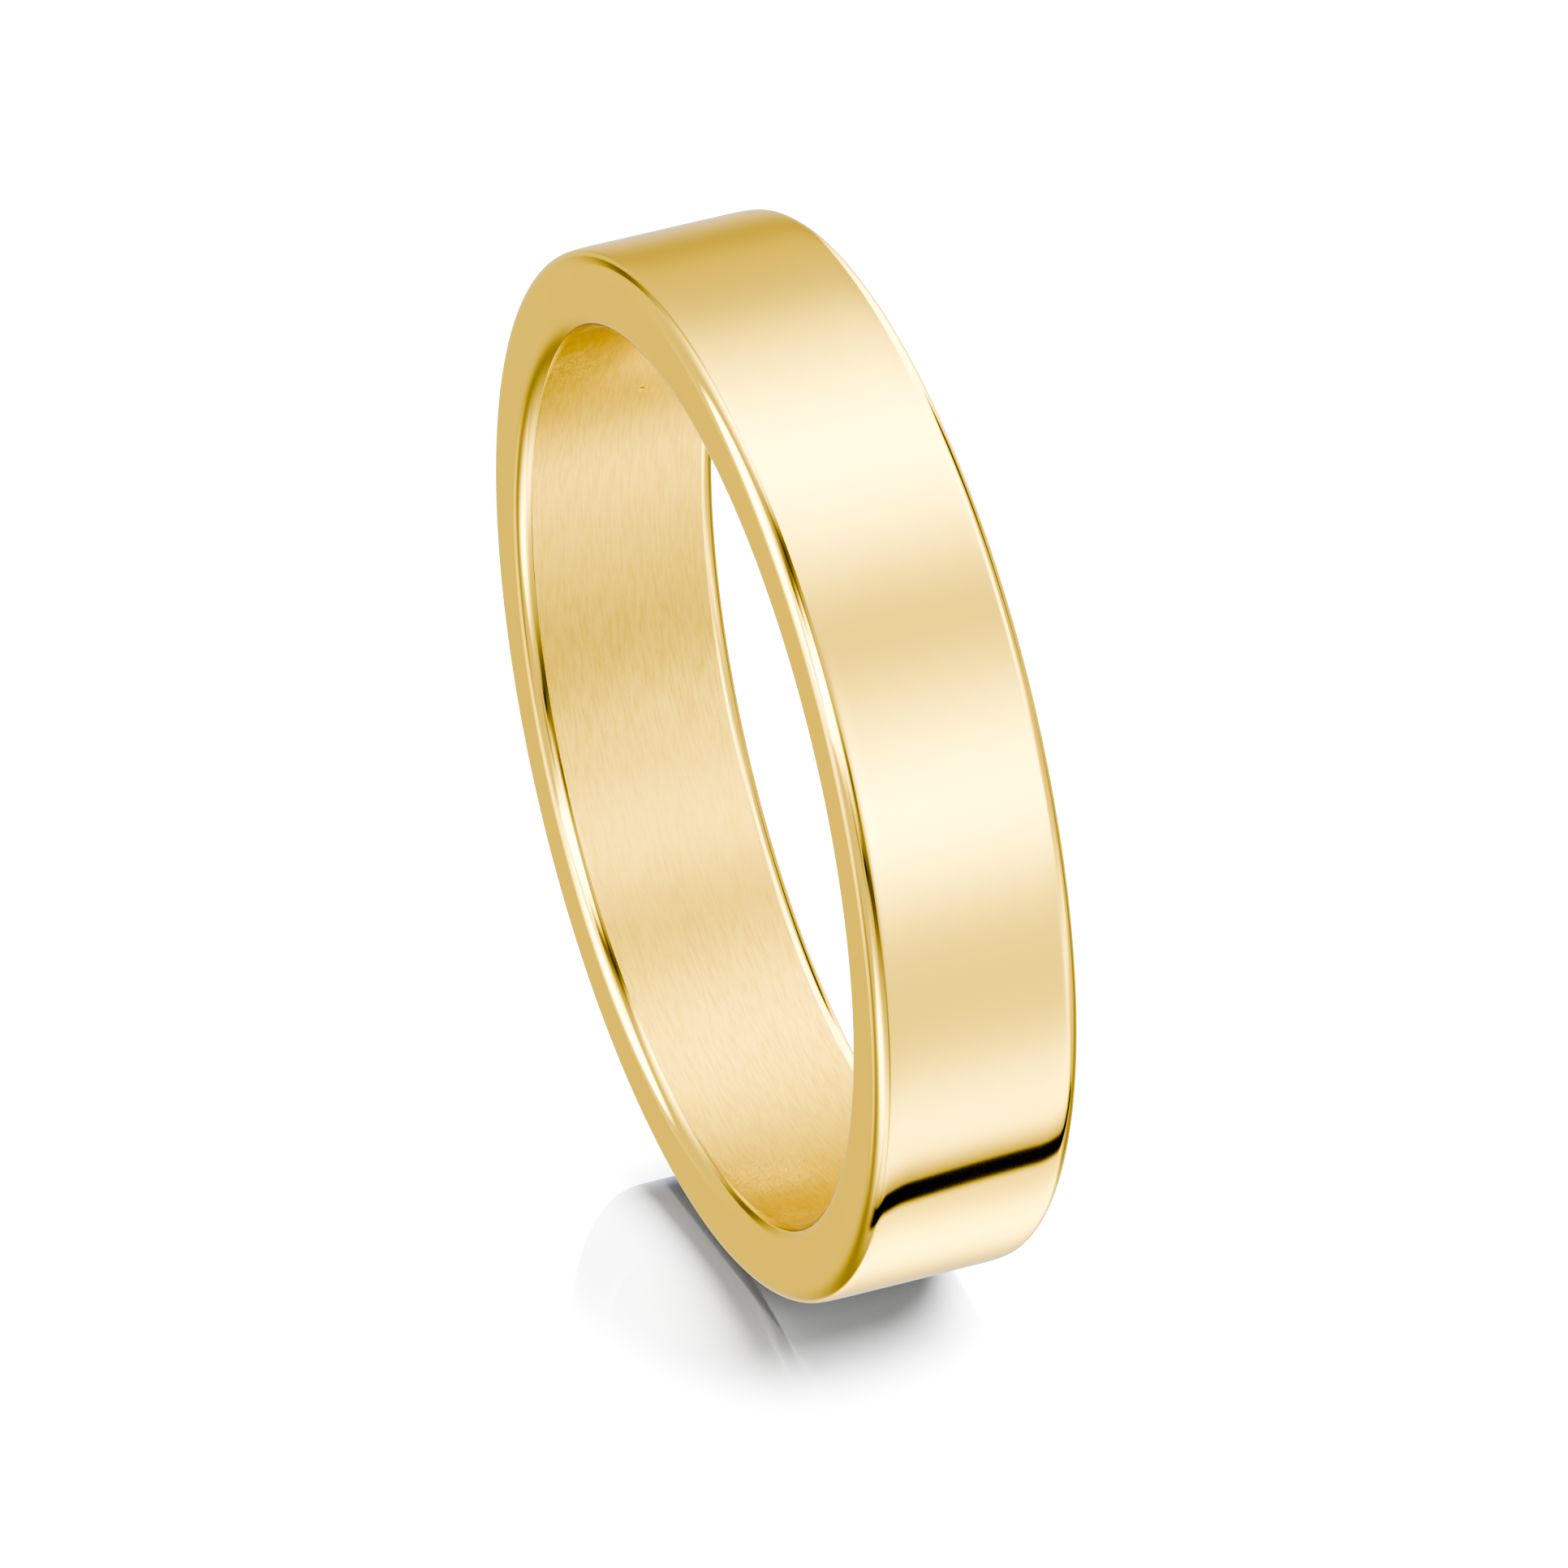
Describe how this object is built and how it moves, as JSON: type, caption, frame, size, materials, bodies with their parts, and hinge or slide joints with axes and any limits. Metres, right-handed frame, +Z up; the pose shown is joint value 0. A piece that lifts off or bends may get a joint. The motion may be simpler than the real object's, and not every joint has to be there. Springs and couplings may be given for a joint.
{
  "type": "wedding band",
  "caption": "Plain flat wedding band with eased edges, polished outside and satin inside, worn on a finger.",
  "frame": {"origin": "centre of the bore, half way across the band", "axes": "+Y along the finger, through the bore; +Z up, with the ring standing on its rim"},
  "size_m": [0.02, 0.004, 0.02],
  "materials": {
    "gold": "18 carat yellow gold, mirror polished outside and on the edges, satin in the bore"
  },
  "bodies": {
    "root": {"band": "gold"}
  },
  "joints": []
}
